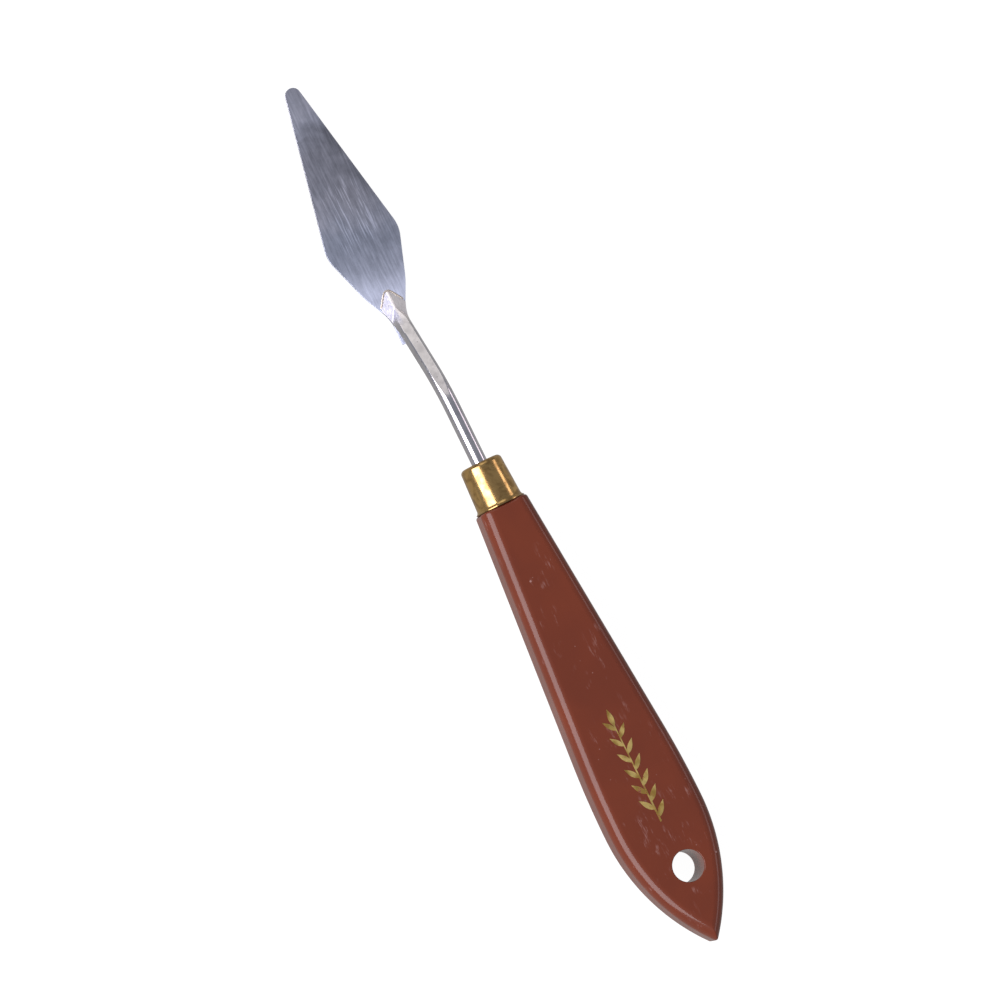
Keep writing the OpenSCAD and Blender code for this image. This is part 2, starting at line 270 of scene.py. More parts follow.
def emboss(tree, height, depth, under=None):
    """Surface relief of that depth in millimetres."""
    inputs = {"Height": height, "Strength": 1.0, "Distance": depth * MM}
    if under is not None:
        inputs["Normal"] = under
    return lay(tree, "ShaderNodeBump", inputs).outputs[0]


def new_finish(name, metallic=0.0):
    material = bpy.data.materials.new(name)
    material.use_nodes = True
    tree = material.node_tree
    shader = tree.nodes["Principled BSDF"]
    shader.inputs["Metallic"].default_value = metallic
    return material, tree, shader


def feed(tree, shader, **sockets):
    names = {"colour": "Base Color", "roughness": "Roughness", "relief": "Normal", "metallic": "Metallic"}
    for key, value in sockets.items():
        tree.links.new(value, shader.inputs[names[key]])


def axes_of(tree, where):
    """The three coordinates of a position, as separate values."""
    return lay(tree, "ShaderNodeSeparateXYZ", {0: where}).outputs


# ---- Finishes ----
def blade_steel():
    """Satin ground steel: lengthwise grinding marks and faint clouds, with painted reflection: a painted
    brighter heel, a painted duller middle, a painted brighter tip and a painted brighter side towards +y.
    """
    material, tree, shader = new_finish("blade_steel", metallic=1.0)
    root = (root_x, 0, -CRANK_DROP)
    flat = from_seam(tree, at=root)
    along, across, _ = axes_of(tree, flat)
    streaks = grain(tree, from_seam(tree, (0.035, 1, 1), root), 0.42, 4.0, 0.62)
    scores = grain(tree, from_seam(tree, (0.03, 1, 1), (root_x + 1.3, 0.7, 0)), 0.30, 1.0, 0.4)
    clouds = grain(tree, flat, 9.0, 4.0, 0.55, 0.5)
    mottle = grain(tree, flat, 1.6, 4.0, 0.65)
    smears = grain(tree, from_seam(tree, (0.35, 1, 1), root, 0.5), 5.0, 4.0, 0.6, 1.2)
    ragged = plus(tree, along, between(tree, clouds, 0.25, 0.75, -3.5, 3.5))
    # painted reflection: a brighter heel, a duller middle band, a brighter tip and a brighter +y side stand
    # in for the studio lights seen in the blade
    heel = between(tree, ragged, 20.0, 6.0)
    middle = both(tree, between(tree, ragged, 20.0, 35.0), between(tree, ragged, 51.0, 41.0))
    tip = between(tree, ragged, 42.0, 54.0)
    side = between(tree, across, -7.0, 7.0)
    scored = both(tree, between(tree, along, 16.0, 23.0), between(tree, along, 38.0, 31.0))
    scored = both(tree, scored, between(tree, reckon(tree, "ABSOLUTE", across), 6.5, 2.5))
    scored = both(tree, scored, between(tree, scores, 0.56, 0.66))
    tone = plus(tree, 0.50, both(tree, heel, 0.24))
    for part, share in ((middle, -0.12), (tip, 0.10), (side, 0.13), (scored, 0.28)):
        tone = plus(tree, tone, both(tree, part, share))
    tone = plus(tree, tone, between(tree, clouds, 0.3, 0.7, -0.04, 0.05))
    tone = plus(tree, tone, between(tree, mottle, 0.3, 0.7, -0.035, 0.035))
    tone = plus(tree, tone, between(tree, streaks, 0.3, 0.75, -0.05, 0.07))
    tone = reckon(tree, "ADD", tone, between(tree, smears, 0.52, 0.75, 0.0, 0.08), clamp=True)
    # the middle and the tip take a slightly warmer painted reflection tint
    painted_tint_share = reckon(tree, "ADD", middle, tip, clamp=True)
    tint = blend_colours(tree, painted_tint_share, (0.88, 0.94, 1.14, 1), (0.95, 0.96, 1.11, 1))
    colour = lay(tree, "ShaderNodeVectorMath", {0: tint, 3: tone}, operation="SCALE").outputs[0]
    rough = between(tree, clouds, 0.3, 0.7, 0.26, 0.34)
    rough = plus(tree, rough, between(tree, streaks, 0.3, 0.7, 0.0, 0.06))
    rough = plus(tree, rough, both(tree, heel, 0.20))
    relief = emboss(tree, plus(tree, streaks, mottle), 0.006, emboss(tree, clouds, 0.06))
    feed(tree, shader, colour=colour, roughness=rough, relief=relief)
    return material


def rod_steel():
    """Polished round rod with a matt ground flat along the top of the crank, and bevels on the arrow head,
    the +y bevel with a painted highlight.
    """
    material, tree, shader = new_finish("rod_steel", metallic=1.0)
    where = from_seam(tree)
    ground = lay(tree, "ShaderNodeAttribute", attribute_name="ground").outputs["Fac"]
    drawn = grain(tree, from_seam(tree, (0.03, 1, 1)), 0.25, 3.0)
    filed = grain(tree, from_seam(tree, (0.25, 1, 1)), 0.2, 3.0)
    clouds = grain(tree, where, 2.6, 3.0, 0.6, 0.6)
    pits = specks(tree, where, 1.1, 0.18, 0.16)
    cloudy = between(tree, clouds, 0.35, 0.7)
    plain = blend_colours(tree, cloudy, (0.68, 0.67, 0.70, 1), (0.58, 0.57, 0.61, 1))
    cloudy = between(tree, clouds, 0.3, 0.7)
    matt = blend_colours(tree, cloudy, (0.84, 0.80, 0.78, 1), (0.62, 0.59, 0.58, 1))
    colour = blend_colours(tree, ground, plain, matt)
    along, across, _ = axes_of(tree, where)
    head = between(tree, along, root_x + 0.2, root_x + 3.4)
    # painted highlight: the head's +y bevel facet is painted lighter and lilac, standing in for the softbox
    # it would reflect
    painted_bright_bevel = both(tree, head, between(tree, across, -0.1, 0.4))
    strokes = between(tree, filed, 0.35, 0.6)
    painted_bevel_highlight = blend_colours(tree, strokes, (0.86, 0.85, 0.92, 1), (0.58, 0.58, 0.70, 1))
    strokes = between(tree, filed, 0.35, 0.65)
    warm = blend_colours(tree, strokes, (0.99, 0.95, 0.92, 1), (0.86, 0.82, 0.80, 1))
    colour = blend_colours(tree, head, colour, warm)
    colour = blend_colours(tree, painted_bright_bevel, colour, painted_bevel_highlight)
    colour = blend_colours(tree, both(tree, pits, 0.55), colour, (0.10, 0.09, 0.09, 1))
    rough = plus(tree, between(tree, drawn, 0.3, 0.7, 0.13, 0.20), both(tree, ground, 0.24))
    rough = plus(tree, rough, both(tree, head, 0.28))
    marks = blend_colours(tree, ground, drawn, filed)
    feed(tree, shader, colour=colour, roughness=rough, relief=emboss(tree, marks, 0.004))
    return material


def pale_braze():
    """Pale, slightly lumpy braze."""
    material, tree, shader = new_finish("pale_braze", metallic=1.0)
    lumps = grain(tree, from_seam(tree), 0.6, 3.0)
    colour = blend_colours(tree, between(tree, lumps, 0.3, 0.7), (0.80, 0.72, 0.62, 1), (0.60, 0.52, 0.44, 1))
    rough = between(tree, lumps, 0.3, 0.7, 0.32, 0.5)
    feed(tree, shader, colour=colour, roughness=rough, relief=emboss(tree, lumps, 0.03))
    return material


def drawn_brass():
    """Polished brass, turned round its axis: fine hoops, fingerprints, and painted shade where it meets the
    lacquer.
    """
    material, tree, shader = new_finish("drawn_brass", metallic=1.0)
    where = from_seam(tree)
    along = axes_of(tree, where)[0]
    hoops = grain(tree, from_seam(tree, (1, 0.03, 0.03)), 0.22, 3.0)
    smudges = grain(tree, where, 2.2, 4.0, 0.6, 0.8)
    stains = specks(tree, where, 1.6, 0.14, 0.2)
    # painted shade: a dark band on the brass next to the seam with the lacquer
    painted_seam_shade = between(tree, along, 0.35, 0.0)
    touched = between(tree, smudges, 0.35, 0.7)
    colour = blend_colours(tree, touched, (0.66, 0.42, 0.16, 1), (0.34, 0.205, 0.075, 1))
    colour = blend_colours(tree, both(tree, stains, 0.5), colour, (0.24, 0.14, 0.05, 1))
    colour = blend_colours(tree, both(tree, painted_seam_shade, 0.75), colour, (0.10, 0.055, 0.03, 1))
    rough = between(tree, smudges, 0.3, 0.7, 0.12, 0.24)
    rough = plus(tree, rough, between(tree, hoops, 0.3, 0.7, 0.0, 0.05))
    feed(tree, shader, colour=colour, roughness=rough, relief=emboss(tree, hoops, 0.003))
    return material


def gloss_lacquer():
    """Opaque red-brown lacquer: slight unevenness, dust specks, rubbed scuffs, and a clear coat."""
    material, tree, shader = new_finish("gloss_lacquer")
    where = from_seam(tree)
    clouds = grain(tree, where, 16.0, 3.0, 0.5, 0.3)
    peel = grain(tree, from_seam(tree, (0.6, 1, 1)), 2.4, 2.0, 0.5)
    waves = grain(tree, from_seam(tree, (0.3, 1, 1)), 8.0, 1.0, 0.5)
    dust = specks(tree, where, 1.7, 0.12, 0.1)
    motes = specks(tree, from_seam(tree, at=(3.1, 1.7, 0.4)), 4.1, 0.2, 0.07)
    rubbed = grain(tree, from_seam(tree, (0.18, 1, 1), turn=0.06), 0.7, 3.0, 0.7)
    patch = grain(tree, where, 7.0, 2.0, 0.5, 0.5)
    scuffs = both(tree, between(tree, rubbed, 0.54, 0.69), between(tree, patch, 0.53, 0.66))
    cloudy = between(tree, clouds, 0.3, 0.7)
    body = blend_colours(tree, cloudy, (0.135, 0.0290, 0.0130, 1), (0.116, 0.0250, 0.0120, 1))
    marks = reckon(tree, "MAXIMUM", both(tree, dust, 0.28), both(tree, motes, 0.6))
    marks = reckon(tree, "MAXIMUM", marks, both(tree, scuffs, 0.30))
    colour = blend_colours(tree, marks, body, (0.42, 0.26, 0.24, 1))
    rough = plus(tree, between(tree, clouds, 0.3, 0.7, 0.24, 0.32), both(tree, scuffs, 0.3))
    relief = emboss(tree, peel, 0.012, emboss(tree, waves, 0.05))
    relief = emboss(tree, marks, 0.02, relief)
    shader.inputs["Specular IOR Level"].default_value = 0.12
    shader.inputs["Coat Weight"].default_value = 0.42
    shader.inputs["Coat Roughness"].default_value = 0.06
    feed(tree, shader, colour=colour, roughness=rough, relief=relief)
    return material


def pressed_foil():
    """Hot pressed gold foil, rubbed through to the lacquer in places."""
    material, tree, shader = new_finish("pressed_foil", metallic=1.0)
    where = from_seam(tree)
    rub = grain(tree, where, 0.7, 4.0, 0.7)
    dull = grain(tree, where, 2.8, 2.0)
    gaps = between(tree, plus(tree, rub, both(tree, dull, 0.35)), 0.80, 0.86)
    gold = blend_colours(tree, between(tree, dull, 0.4, 0.6), (1.0, 0.74, 0.25, 1), (0.58, 0.36, 0.09, 1))
    colour = blend_colours(tree, gaps, gold, (0.15, 0.04, 0.025, 1))
    rough = between(tree, rub, 0.3, 0.7, 0.28, 0.42)
    shine = reckon(tree, "SUBTRACT", 1.0, gaps)
    feed(tree, shader, colour=colour, roughness=rough, metallic=shine, relief=emboss(tree, rub, 0.01))
    return material


def cured_resin():
    """Cloudy amber resin, closed inside the handle."""
    material, tree, shader = new_finish("cured_resin")
    lumps = grain(tree, from_seam(tree), 1.5, 3.0)
    colour = blend_colours(tree, lumps, (0.62, 0.50, 0.28, 1), (0.80, 0.70, 0.46, 1))
    feed(tree, shader, colour=colour, roughness=between(tree, lumps, 0.3, 0.7, 0.3, 0.45))
    return material


# ---- Mesh making ----
def new_piece(name, points, faces, material, crease=30.0):
    mesh = bpy.data.meshes.new(name)
    mesh.from_pydata([tuple(p) for p in points], [], faces)
    work = bmesh.new()
    work.from_mesh(mesh)
    bmesh.ops.remove_doubles(work, verts=work.verts, dist=MERGE_DISTANCE)
    bmesh.ops.recalc_face_normals(work, faces=work.faces)
    work.to_mesh(mesh)
    work.free()
    return finish_piece(name, mesh, material, crease)


def finish_piece(name, mesh, material, crease):
    mesh.materials.clear()
    mesh.materials.append(material)
    mesh.polygons.foreach_set("material_index", [0] * len(mesh.polygons))
    mesh.shade_smooth()
    mesh.set_sharp_from_angle(angle=math.radians(crease))
    piece = bpy.data.objects.new(name, mesh)
    bpy.context.scene.collection.objects.link(piece)
    return piece


def skin(rings):
    """Points and faces of the closed solid that passes through the rings, in order."""
    count = len(rings[0])
    faces = []
    for i in range(len(rings) - 1):
        for k in range(count):
            n = (k + 1) % count
            faces.append((i * count + k, i * count + n, (i + 1) * count + n, (i + 1) * count + k))
    faces.append(tuple(range(count)))
    faces.append(tuple(reversed(range((len(rings) - 1) * count, len(rings) * count))))
    return [p for ring in rings for p in ring], faces


def turned(profile, steps, axis="x", at=(0, 0, 0)):
    """Points and faces of a profile of (distance along the axis, radius) turned round that axis.

    A profile that starts and ends on the axis is a full solid.
    Any other is a closed loop, such as a tube's wall.
    """
    loop = profile[0][1] > 0
    rings = []
    for k in range(steps):
        t = 2 * math.pi * k / steps
        ring = []
        for along, radius in profile:
            c, s = radius * math.cos(t), radius * math.sin(t)
            p = (along, c, s) if axis == "x" else (c, s, along)
            ring.append(in_place(at[0] + p[0], at[1] + p[1], at[2] + p[2]))
        rings.append(ring)
    count = len(profile)
    faces = []
    for k in range(steps):
        n = (k + 1) % steps
        for i in range(count if loop else count - 1):
            j = (i + 1) % count
            faces.append((k * count + i, n * count + i, n * count + j, k * count + j))
    return [p for ring in rings for p in ring], faces


def as_modified(piece):
    """A new mesh: the piece with its modifiers worked in."""
    bpy.context.view_layer.update()
    return bpy.data.meshes.new_from_object(piece.evaluated_get(bpy.context.evaluated_depsgraph_get()))


def work_in(piece, tool):
    """Works the modifier into the piece's own mesh."""
    done = as_modified(piece)
    piece.modifiers.remove(tool)
    old = piece.data
    piece.data = done
    bpy.data.meshes.remove(old)


def carve(piece, other, operation):
    """Joins the other solid to the piece, or cuts it away; the other is used up."""
    tool = piece.modifiers.new("carve", "BOOLEAN")
    tool.operation = operation
    tool.solver = "MANIFOLD"
    tool.object = other
    work_in(piece, tool)
    bpy.data.objects.remove(other)


def keep_flats_flat(piece):
    """Large flat faces keep their own normal; only the rounded edges shade softly."""
    tool = piece.modifiers.new("flats", "WEIGHTED_NORMAL")
    tool.weight = 100
    tool.keep_sharp = True
    work_in(piece, tool)


# ---- Handle ----
handle_half = HANDLE_WIDTH / 2
belly_d = HANDLE_LENGTH - BELLY_TO_BUTT
flank_taper = math.atan((handle_half - HANDLE_FRONT_WIDTH / 2) / (belly_d - BELLY_BLEND / 2))
flank_arc_radius = BELLY_BLEND / math.sin(flank_taper)
tail_run = BELLY_TO_BUTT - NOSE_RADIUS
tail_radius = (tail_run ** 2 + handle_half ** 2 - NOSE_RADIUS ** 2) / (2 * (handle_half - NOSE_RADIUS))
hole_x = HOLE_TO_BUTT - HANDLE_LENGTH


def handle_outline(inset, setback):
    """Plan of the handle, drawn in by inset and cut back from the ferrule by setback."""
    flank_r = flank_arc_radius - inset
    flank_cy = handle_half - flank_arc_radius
    flank_top = flank_cy + flank_r * math.cos(flank_taper)
    flank_d = belly_d - flank_r * math.sin(flank_taper)
    front_half = flank_top - (flank_d - setback) * math.tan(flank_taper)
    tail_r = tail_radius - inset
    tail_cy = handle_half - tail_radius
    nose_r = max(NOSE_RADIUS - inset, NOSE_RADIUS / 3)
    nose_d = belly_d + math.sqrt((tail_r - nose_r) ** 2 - tail_cy ** 2)
    tail_end = math.acos(-tail_cy / (tail_r - nose_r))
    half = fillet((setback, 0), (setback, front_half), (flank_d, flank_top), SHOULDER_RADIUS, 10)
    shoulder = half[-1]
    for k in range(1, 9):
        t = k / 9
        half.append(Vector((mix(shoulder.x, flank_d, t), mix(shoulder.y, flank_top, t))))
    for k in range(13):
        a = flank_taper * (1 - k / 12)
        half.append(Vector((belly_d - flank_r * math.sin(a), flank_cy + flank_r * math.cos(a))))
    for k in range(1, 61):
        a = tail_end * k / 60
        half.append(Vector((belly_d + tail_r * math.sin(a), tail_cy + tail_r * math.cos(a))))
    for k in range(1, 11):
        a = mix(tail_end, math.pi / 2, k / 10)
        half.append(Vector((nose_d + nose_r * math.sin(a), nose_r * math.cos(a))))
    return both_sides(half)


def handle_ring(a, side):
    """The outline at one height of the rounded edge, which a counts round from the flat face's side."""
    depth = EDGE_RADIUS * (1 - math.sin(a))
    shoulder_left = max(0, SHOULDER_RADIUS - depth)
    setback = SHOULDER_RADIUS - math.sqrt(max(0, SHOULDER_RADIUS ** 2 - shoulder_left ** 2))
    outline = handle_outline(EDGE_RADIUS * (1 - math.cos(a)), setback)
    return [in_place(-p.x, p.y, side * (HANDLE_THICKNESS / 2 - depth)) for p in outline]


def make_handle(material):
    rings = [handle_ring(QUARTER * k / EDGE_STEPS, -1) for k in range(EDGE_STEPS, -1, -1)]
    rings += [handle_ring(QUARTER * k / EDGE_STEPS, 1) for k in range(EDGE_STEPS + 1)]
    handle = new_piece("handle_lacquered", *skin(rings), material)

    front = FERRULE_FRONT_RADIUS - FERRULE_WALL - ROD_GAP
    back = FERRULE_BACK_RADIUS - FERRULE_WALL - ROD_GAP
    neck = [(-OVERRUN, 0), (-OVERRUN, back), (SPIGOT_LENGTH - FERRULE_CORNER, front)]
    neck += [(SPIGOT_LENGTH, front - FERRULE_CORNER), (SPIGOT_LENGTH, 0)]
    carve(handle, new_piece("neck", *turned(neck, SPIGOT_STEPS), material), "UNION")
    bore = [(-BORE_DEPTH, 0), (-BORE_DEPTH, BORE_RADIUS)]
    bore += [(FERRULE_LENGTH, BORE_RADIUS), (FERRULE_LENGTH, 0)]
    carve(handle, new_piece("bore", *turned(bore, SPIGOT_STEPS), material), "DIFFERENCE")

    top = HANDLE_THICKNESS / 2
    rim = []
    for k in range(9):
        a = HOLE_RIM_SWEEP * k / 8
        height = top - HOLE_RIM + HOLE_RIM_LIFT + HOLE_RIM * math.sin(a)
        rim.append((height, HOLE_RADIUS + HOLE_RIM * (1 - math.cos(a))))
    rim.append((top + OVERRUN, rim[-1][1] + DRILL_FLARE))
    drill = [(-z, r) for z, r in reversed(rim)] + rim
    drill = [(-top - OVERRUN, 0)] + drill + [(top + OVERRUN, 0)]
    drill_shape = turned(drill, HOLE_STEPS, "z", at=(hole_x, -HOLE_OFFSET, 0))
    hole = new_piece("drill", *drill_shape, material)
    carve(handle, hole, "DIFFERENCE")

    mesh = handle.data
    mesh.shade_smooth()
    mesh.set_sharp_from_angle(angle=math.radians(40))
    keep_flats_flat(handle)
    return handle


# ---- Ferrule ----
def make_ferrule(material):
    rise = FERRULE_LIP_RADIUS - FERRULE_BACK_RADIUS
    flare = FERRULE_LIP_LENGTH
    lip = FERRULE_LIP_RADIUS
    outside = [(0.0, lip - LIP_SOFTNESS), (LIP_SOFTNESS / 3, lip - LIP_SOFTNESS / 3)]
    outside += [(LIP_SOFTNESS, lip), (flare / 4, lip)]
    for k in range(1, 13):
        a = QUARTER * k / 12
        run = flare / 4 + flare * 3 / 4 * (1 - math.cos(a))
        outside.append((run, FERRULE_BACK_RADIUS + rise * (1 - math.sin(a))))
    barrel_start, barrel_end = flare, FERRULE_LENGTH - FERRULE_CORNER
    for k in range(1, 8):
        t = k / 8
        outside.append((mix(barrel_start, barrel_end, t), mix(FERRULE_BACK_RADIUS, FERRULE_FRONT_RADIUS, t)))
    for k in range(13):
        a = QUARTER * k / 12
        run = FERRULE_LENGTH - FERRULE_CORNER * (1 - math.sin(a))
        outside.append((run, FERRULE_FRONT_RADIUS - FERRULE_CORNER * (1 - math.cos(a))))
    eye = ROD_RADIUS + ROD_GAP
    rolled_start = FERRULE_FRONT_RADIUS - FERRULE_CORNER
    for k in range(1, 9):
        t = k / 8
        outside.append((FERRULE_LENGTH - FERRULE_DISH * smooth(t), mix(rolled_start, eye, t)))
    inside = [
        (FERRULE_LENGTH - FERRULE_DISH - FERRULE_WALL, eye),
        (FERRULE_LENGTH - FERRULE_WALL, FERRULE_FRONT_RADIUS - FERRULE_CORNER),
        (FERRULE_LENGTH - FERRULE_CORNER, FERRULE_FRONT_RADIUS - FERRULE_WALL),
        (0.0, FERRULE_BACK_RADIUS - FERRULE_WALL),
    ]
    return new_piece("ferrule_brass", *turned(outside + inside, FERRULE_STEPS), material, crease=50)


# ---- Shank ----
bend_x = FERRULE_LENGTH + ROD_STRAIGHT
slope_x = bend_x + BEND_RADIUS * math.sin(CRANK_ANGLE)
bend_drop = BEND_RADIUS * (1 - math.cos(CRANK_ANGLE))
root_x = slope_x + (CRANK_DROP - ROD_RADIUS / math.cos(CRANK_ANGLE) - bend_drop) / math.tan(CRANK_ANGLE)
apex_x = root_x + HEAD_LENGTH
nose_centre_x = apex_x - HEAD_TIP_RADIUS / math.sin(HEAD_HALF_ANGLE)
flat_start = slope_x - 2 - FLAT_RUNOUT
flat_half = math.sqrt(ROD_RADIUS ** 2 - (ROD_RADIUS - FLAT_DEPTH) ** 2)
hip = Vector((HIP_TO_ROOT, HIP_WIDTH / 2))
corner = Vector((HIP_TO_ROOT + HIP_TO_CORNER, BLADE_WIDTH / 2))
flare_centre = Vector((FLARE_START, ROD_RADIUS + FLARE_RADIUS))
flare_angle = math.atan2(hip.x - flare_centre.x, flare_centre.y - hip.y)
flare_angle -= math.acos(FLARE_RADIUS / (hip - flare_centre).length)


def axis_slope(x):
    if x < bend_x:
        return 0.0
    return math.asin((x - bend_x) / BEND_RADIUS) if x < slope_x else CRANK_ANGLE


def axis_z(x):
    if x < bend_x:
        return 0.0
    if x < slope_x:
        return -BEND_RADIUS * (1 - math.cos(axis_slope(x)))
    return -bend_drop - (x - slope_x) * math.tan(CRANK_ANGLE)


def blade_top_z(x):
    return -CRANK_DROP + (x - root_x) * math.tan(BLADE_TILT)


def round_z(x, y):
    return math.sqrt(max(0, ROD_RADIUS ** 2 - y ** 2)) / math.cos(axis_slope(x))


def flat_z(x):
    height = ROD_RADIUS - FLAT_DEPTH * smooth((x - flat_start) / FLAT_RUNOUT)
    return axis_z(x) + height / math.cos(axis_slope(x))


def flare_half(u):
    if u < FLARE_START:
        return ROD_RADIUS
    run = min(u - FLARE_START, FLARE_RADIUS * math.sin(flare_angle))
    return ROD_RADIUS + FLARE_RADIUS - math.sqrt(FLARE_RADIUS ** 2 - run ** 2)


def half_width(x):
    if x < root_x:
        return ROD_RADIUS
    if x < nose_centre_x + HEAD_TIP_RADIUS * math.sin(HEAD_HALF_ANGLE):
        arrow = (apex_x - x) * math.tan(HEAD_HALF_ANGLE)
    else:
        arrow = math.sqrt(max(0, HEAD_TIP_RADIUS ** 2 - (x - nose_centre_x) ** 2))
    return max(NARROWEST, min(flare_half(x - root_x), arrow))


def bevel_z(x, y):
    reach = (apex_x - x) * math.sin(HEAD_HALF_ANGLE) - abs(y) * math.cos(HEAD_HALF_ANGLE)
    return blade_top_z(x) + HEAD_EDGE + reach * math.tan(HEAD_BEVEL)


def ridge_z(x):
    return max(flat_z(x), bevel_z(x, 0))


def head_z(x, y):
    prow_half = flat_half * min(1, max(0, (root_x + PROW_END - x) / PROW_RUN))
    prow = ridge_z(x) - PROW_STEEPNESS * (abs(y) - prow_half)
    return min(ridge_z(x), max(bevel_z(x, y), prow))


def top_z(x, y):
    plain = min(flat_z(x), axis_z(x) + round_z(x, y))
    return mix(plain, head_z(x, y), smooth((x - root_x - TOP_BLEND_START) / ROOT_BLEND))


def bottom_z(x, y):
    plain = max(blade_top_z(x), axis_z(x) - round_z(x, y))
    return mix(plain, blade_top_z(x), smooth((x - root_x - BOTTOM_BLEND_START) / ROOT_BLEND))


def rod_ring(x, flattened=False):
    """Section of the straight rod, or of the tang's end with its two ground flats."""
    ring = []
    for k in range(ROD_STEPS):
        a = 2 * math.pi * k / ROD_STEPS
        y, z = ROD_RADIUS * math.sin(a), ROD_RADIUS * math.cos(a)
        if flattened:
            z = max(-TANG_FLAT_HALF, min(TANG_FLAT_HALF, z))
        ring.append(in_place(x, y, z))
    return ring


def crank_ring(x):
    """Section of the crank and of the arrow head, upright to the rod's straight part."""
    ring = []
    for k in range(ROD_STEPS):
        a = 2 * math.pi * k / ROD_STEPS
        y = half_width(x) * math.sin(a)
        top, bottom = top_z(x, y), bottom_z(x, y)
        if abs(math.cos(a)) < 0.001:
            z = (top + bottom) / 2
        else:
            z = max(top, bottom) if math.cos(a) > 0 else bottom
        ring.append(in_place(x, y, z))
    return ring


def make_shank(material):
    flat_end = TANG_FLAT_LENGTH - TANG_DEPTH
    rings = [rod_ring(-TANG_DEPTH, True), rod_ring(flat_end, True), rod_ring(flat_end + TANG_STEP)]
    rings += [rod_ring(mix(flat_end + 1, bend_x - 0.5, k / 24)) for k in range(25)]
    rings += [crank_ring(mix(bend_x, slope_x, k / 50)) for k in range(51)]
    rings += [crank_ring(mix(slope_x, root_x - 1, k / 30)) for k in range(1, 31)]
    rings += [crank_ring(mix(root_x - 1, nose_centre_x, k / 90)) for k in range(1, 91)]
    for k in range(1, 21):
        rings.append(crank_ring(nose_centre_x + (HEAD_TIP_RADIUS - 0.005) * math.sin(QUARTER * k / 20)))
    shank = new_piece("shank_rod", *skin(rings), material, crease=38)
    mesh = shank.data
    # the ground flat, and the head's ridge, as a value for the finish to read
    ground = mesh.attributes.new("ground", "FLOAT", "POINT")
    for vertex, value in zip(mesh.vertices, ground.data):
        x, y, z = ((vertex.co[i] - seam[i]) / MM for i in range(3))
        start = smooth((x - flat_start - 1) / 2)
        over = x > flat_start and z > bottom_z(x, y) + CLEAR_OF_BOTTOM
        if x < root_x - 1:
            flat = over and z < axis_z(x) + round_z(x, y) - CUT_INTO_ROUND
        else:
            flat = over and z > ridge_z(x) - NEAR_RIDGE
        value.value = start if flat else 0.0
    return shank


# ---- Blade ----
def blade_half_outline():
    half = [Vector((-TAB_LENGTH, ROD_RADIUS))]
    for k in range(25):
        a = flare_angle * k / 24
        half.append(flare_centre + FLARE_RADIUS * Vector((math.sin(a), -math.cos(a))))
    point_run = BLADE_LENGTH - corner.x - TIP_RADIUS
    reach = math.hypot(point_run, corner.y)
    point_angle = math.acos(TIP_RADIUS / reach) - math.atan2(point_run, corner.y)
    tip_centre = Vector((BLADE_LENGTH - TIP_RADIUS, 0))
    tangent = tip_centre + TIP_RADIUS * Vector((math.sin(point_angle), math.cos(point_angle)))
    half += fillet(half[-1], hip, corner, HIP_RADIUS, 16)
    half += fillet(hip, corner, tangent, CORNER_RADIUS, 32)
    for k in range(25):
        a = mix(math.pi / 2 - point_angle, 0, k / 24)
        half.append(tip_centre + TIP_RADIUS * Vector((math.cos(a), math.sin(a))))
    return half


def drawn_in(outline, inset):
    """The outline moved in by inset, square to itself."""
    moved = []
    for k, p in enumerate(outline):
        run = outline[(k + 1) % len(outline)] - outline[k - 1]
        moved.append(p + Vector((run.y, -run.x)).normalized() * inset)
    return moved


def on_blade(u, v, w):
    """A point of the blade's own plane: u from the root to the tip, v across, w above its top face."""
    c, s = math.cos(BLADE_TILT), math.sin(BLADE_TILT)
    return in_place(root_x + u * c - w * s, v, -CRANK_DROP + u * s + w * c)


def make_blade(material):
    outline = both_sides(blade_half_outline())
    rings = []
    for k in range(7):
        a = math.pi * k / 6
        inset = BLADE_EDGE * (1 - math.sin(a))
        depth = BLADE_EDGE * (1 - math.cos(a))
        height = -depth
        if k == 3:
            height = -BLADE_THICKNESS / 2
        elif k > 3:
            height = -BLADE_THICKNESS + 2 * BLADE_EDGE - depth
        rings.append([on_blade(p.x, p.y, height) for p in drawn_in(outline, inset)])
    blade = new_piece("blade_sheet", *skin(rings), material, crease=50)
    keep_flats_flat(blade)
    return blade


# ---- Shapes made with geometry nodes ----
def new_maker(name, sizes):
    """An empty node tree with named inputs; its last two steps, realise then set the finish, are added by
    end_maker.
    """
    tree = bpy.data.node_groups.new(name, "GeometryNodeTree")
    tree.interface.new_socket("Geometry", in_out="INPUT", socket_type="NodeSocketGeometry")
    for size in sizes:
        kind = "NodeSocketInt" if size in ("Leaf count", "Seed") else "NodeSocketFloat"
        tree.interface.new_socket(size, in_out="INPUT", socket_type=kind)
    tree.interface.new_socket("Finish", in_out="INPUT", socket_type="NodeSocketMaterial")
    tree.interface.new_socket("Geometry", in_out="OUTPUT", socket_type="NodeSocketGeometry")
    return tree, tree.nodes.new("NodeGroupInput").outputs


def end_maker(tree, given, geometry):
    real = lay(tree, "GeometryNodeRealizeInstances", {"Geometry": geometry}).outputs[0]
    done = lay(tree, "GeometryNodeSetMaterial", {"Geometry": real, "Material": given["Finish"]}).outputs[0]
    lay(tree, "NodeGroupOutput", {"Geometry": done})
    return tree


